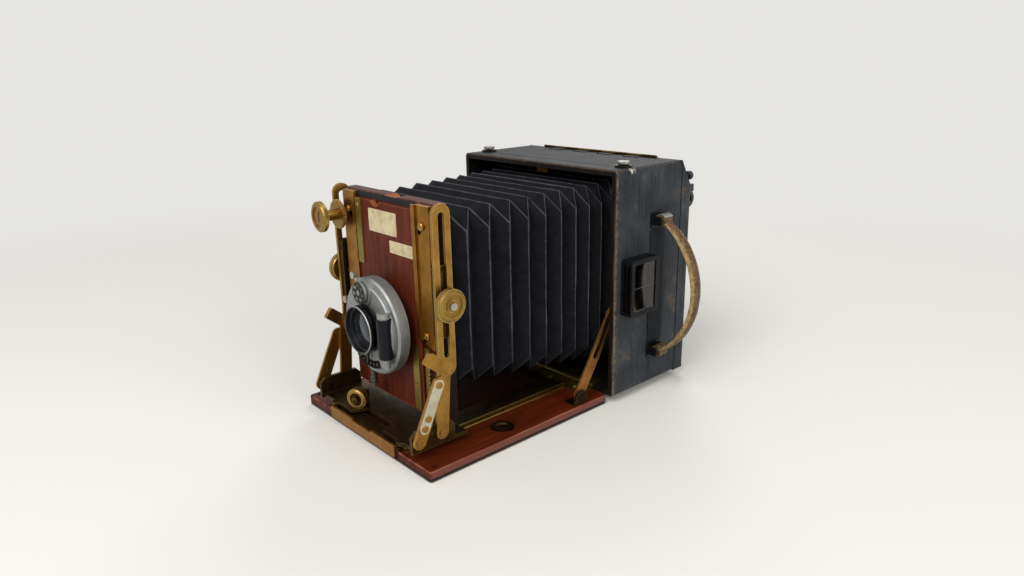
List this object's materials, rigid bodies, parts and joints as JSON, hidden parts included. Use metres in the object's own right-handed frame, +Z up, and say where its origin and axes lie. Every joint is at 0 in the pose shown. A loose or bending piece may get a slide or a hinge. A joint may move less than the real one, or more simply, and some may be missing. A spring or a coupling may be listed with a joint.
{
  "type": "folding plate camera",
  "caption": "Folding wood-and-brass plate camera standing on its open bed, with pleated bellows, slotted brass front, dial shutter, side handle and tripod bush.",
  "frame": {"origin": "middle of the open bed's leather underside, on the mid-plane of the camera, where it stands on a table", "axes": "+Z up, -Y the way the lens looks, +X the side that carries the handle and the finder"},
  "size_m": [0.2043, 0.256, 0.1744],
  "materials": {
    "leather_black": "dyed grain leather over wood, worn at the edges",
    "leather_tan": "stuffed strap, polished by hands",
    "mahogany": "French-polished mahogany",
    "brass": "lacquered brass, aged",
    "copper_brass": "brass whose lacquer has gone coppery",
    "nickel": "satin nickel plate",
    "black_enamel": "stoved black enamel",
    "glass": "polished optical glass; the focusing screen is ground",
    "bellows_leather": "thin pleated leather, grey on the folds",
    "ivory": "cream celluloid, bare"
  },
  "bodies": {
    "body": {"body_case": "mahogany", "case_leather": "leather_black", "bellows_frame": "mahogany", "back_frame": "leather_black", "back_insert": "mahogany", "ground_glass": "glass", "door_hinge_base": "brass", "back_catch_base": "nickel", "flap_hinge_base": "brass", "strut_studs": "brass", "bed_hinge_base": "brass", "handle_brackets": "nickel", "handle_strap": "leather_tan", "finder_body": "black_enamel", "finder_glass": "glass", "bellows": "bellows_leather"},
    "flap": {"top_flap": "leather_black"},
    "door": {"focusing_door": "leather_black"},
    "catch": {"back_catch": "nickel"},
    "button_left": {"press_button_left": "nickel"},
    "button_right": {"press_button_right": "nickel"},
    "bed": {"bed_board": "mahogany", "bed_leather": "leather_black", "bed_hinge_leaf": "brass", "strut_brackets": "brass", "track_guides": "brass", "tripod_bush": "brass", "pinion_bearings": "brass"},
    "strut_pair": {"struts": "copper_brass"},
    "track": {"track_rails": "brass", "track_front_bar": "brass"},
    "pinion": {"focus_pinion": "brass"},
    "carriage": {"carriage_plate": "brass", "slotted_arms": "brass", "lower_legs": "copper_brass", "brace_plates": "nickel", "brace_bars": "brass"},
    "carriage_clamp": {"carriage_knob": "brass"},
    "rise_clamp": {"clamp_studs": "brass"},
    "nut_left": {"thumb_nut_left": "brass"},
    "nut_right": {"thumb_nut_right": "brass"},
    "front": {"front_frame": "mahogany", "side_plates": "brass", "strip_screws": "brass", "frame_rack": "brass"},
    "retainer_left": {"strip_left": "brass"},
    "retainer_right": {"strip_right": "brass"},
    "spool": {"spool_knob": "brass"},
    "lens_panel": {"lens_board": "mahogany", "name_plaques": "ivory", "board_strips": "brass", "shutter_housing": "nickel", "lens_cells": "black_enamel", "lens_glasses": "glass", "iris_leaves": "black_enamel", "air_cylinder": "black_enamel"},
    "dial": {"speed_dial": "black_enamel"},
    "pointer": {"aperture_pointer": "black_enamel"},
    "set_lever": {"set_lever": "nickel"},
    "release_lever": {"release_lever": "nickel"}
  },
  "joints": [
    {"name": "flap_hinge", "type": "hinge", "parent": "body", "child": "flap", "pos_m": [0, 0.1503, 0.1714], "axis": [-1, 0, 0], "range_deg": [0, 100]},
    {"name": "door_hinge", "type": "hinge", "parent": "body", "child": "door", "pos_m": [0, 0.165, 0.1373], "axis": [1, 0, 0], "range_deg": [0, 110]},
    {"name": "catch_swing", "type": "hinge", "parent": "body", "child": "catch", "pos_m": [0.0755, 0.1682, 0.148], "axis": [1, 0, 0], "range_deg": [0, 40]},
    {"name": "button_left_press", "type": "slide", "parent": "body", "child": "button_left", "axis": [0, 0, -1], "range_m": [0, 0.002], "stiffness_N_per_m": 300, "springref_m": -0.003},
    {"name": "button_right_press", "type": "slide", "parent": "body", "child": "button_right", "axis": [0, 0, -1], "range_m": [0, 0.002], "stiffness_N_per_m": 300, "springref_m": -0.003},
    {"name": "bed_hinge", "type": "hinge", "parent": "body", "child": "bed", "pos_m": [0, 0.0796, 0.0092], "axis": [-1, 0, 0], "range_deg": [0, 12], "deforming": ["bellows"]},
    {"name": "strut_foot", "type": "hinge", "parent": "bed", "child": "strut_pair", "pos_m": [0, 0.055, 0.0125], "axis": [1, 0, 0], "range_deg": [0, 10.27]},
    {"name": "focus", "type": "slide", "parent": "bed", "child": "track", "axis": [0, -1, 0], "range_m": [0, 0.04], "deforming": ["bellows"]},
    {"name": "pinion_turn", "type": "hinge", "parent": "bed", "child": "pinion", "pos_m": [0, 0.021, 0.01395], "axis": [1, 0, 0], "range_deg": [-534, 0]},
    {"name": "carriage_slide", "type": "slide", "parent": "track", "child": "carriage", "axis": [0, 1, 0], "range_m": [0, 0.048], "deforming": ["bellows"]},
    {"name": "carriage_knob_turn", "type": "hinge", "parent": "carriage", "child": "carriage_clamp", "pos_m": [-0.02034, -0.06971, 0.0204], "axis": [0.4226, -0.9063, 0], "range_deg": [-180, 180]},
    {"name": "rise", "type": "slide", "parent": "carriage", "child": "rise_clamp", "axis": [0, 0, 1], "range_m": [-0.006, 0.04], "deforming": ["bellows"]},
    {"name": "nut_left_turn", "type": "hinge", "parent": "rise_clamp", "child": "nut_left", "pos_m": [-0.062, -0.049, 0.1025], "axis": [-1, 0, 0], "range_deg": [-180, 180]},
    {"name": "nut_right_turn", "type": "hinge", "parent": "rise_clamp", "child": "nut_right", "pos_m": [0.062, -0.049, 0.1025], "axis": [1, 0, 0], "range_deg": [-180, 180]},
    {"name": "front_tilt", "type": "hinge", "parent": "rise_clamp", "child": "front", "pos_m": [0, -0.049, 0.1025], "axis": [1, 0, 0], "range_deg": [0, 8], "deforming": ["bellows"]},
    {"name": "retainer_left_slide", "type": "slide", "parent": "front", "child": "retainer_left", "axis": [-0.6018, 0, 0.7986], "range_m": [0, 0.004]},
    {"name": "retainer_right_slide", "type": "slide", "parent": "front", "child": "retainer_right", "axis": [0.6018, 0, 0.7986], "range_m": [0, 0.004]},
    {"name": "spool_turn", "type": "hinge", "parent": "retainer_left", "child": "spool", "pos_m": [-0.049, -0.0642, 0.144], "axis": [0, -1, 0], "range_deg": [-180, 180]},
    {"name": "board_rise", "type": "slide", "parent": "front", "child": "lens_panel", "axis": [0, 0, 1], "range_m": [0, 0.012]},
    {"name": "dial_turn", "type": "hinge", "parent": "lens_panel", "child": "dial", "pos_m": [-0.0026, -0.0715, 0.1012], "axis": [0, -1, 0], "range_deg": [-150, 150]},
    {"name": "pointer_turn", "type": "hinge", "parent": "lens_panel", "child": "pointer", "pos_m": [0, -0.071, 0.0774], "axis": [0, -1, 0], "range_deg": [-25, 25]},
    {"name": "set_lever_swing", "type": "hinge", "parent": "lens_panel", "child": "set_lever", "pos_m": [0, -0.0624, 0.0774], "axis": [0, 1, 0], "range_deg": [0, 34], "stiffness_Nm_per_rad": 0.02, "springref_deg": -17.19},
    {"name": "release_lever_swing", "type": "hinge", "parent": "lens_panel", "child": "release_lever", "pos_m": [0, -0.0624, 0.0774], "axis": [0, -1, 0], "range_deg": [0, 12], "stiffness_Nm_per_rad": 0.03, "springref_deg": -11.46}
  ],
  "couplings": [
    {"joint": "strut_foot", "follows": "bed_hinge", "ratio": 0.8552},
    {"joint": "pinion_turn", "follows": "focus", "rad_per_m": -232.56}
  ]
}
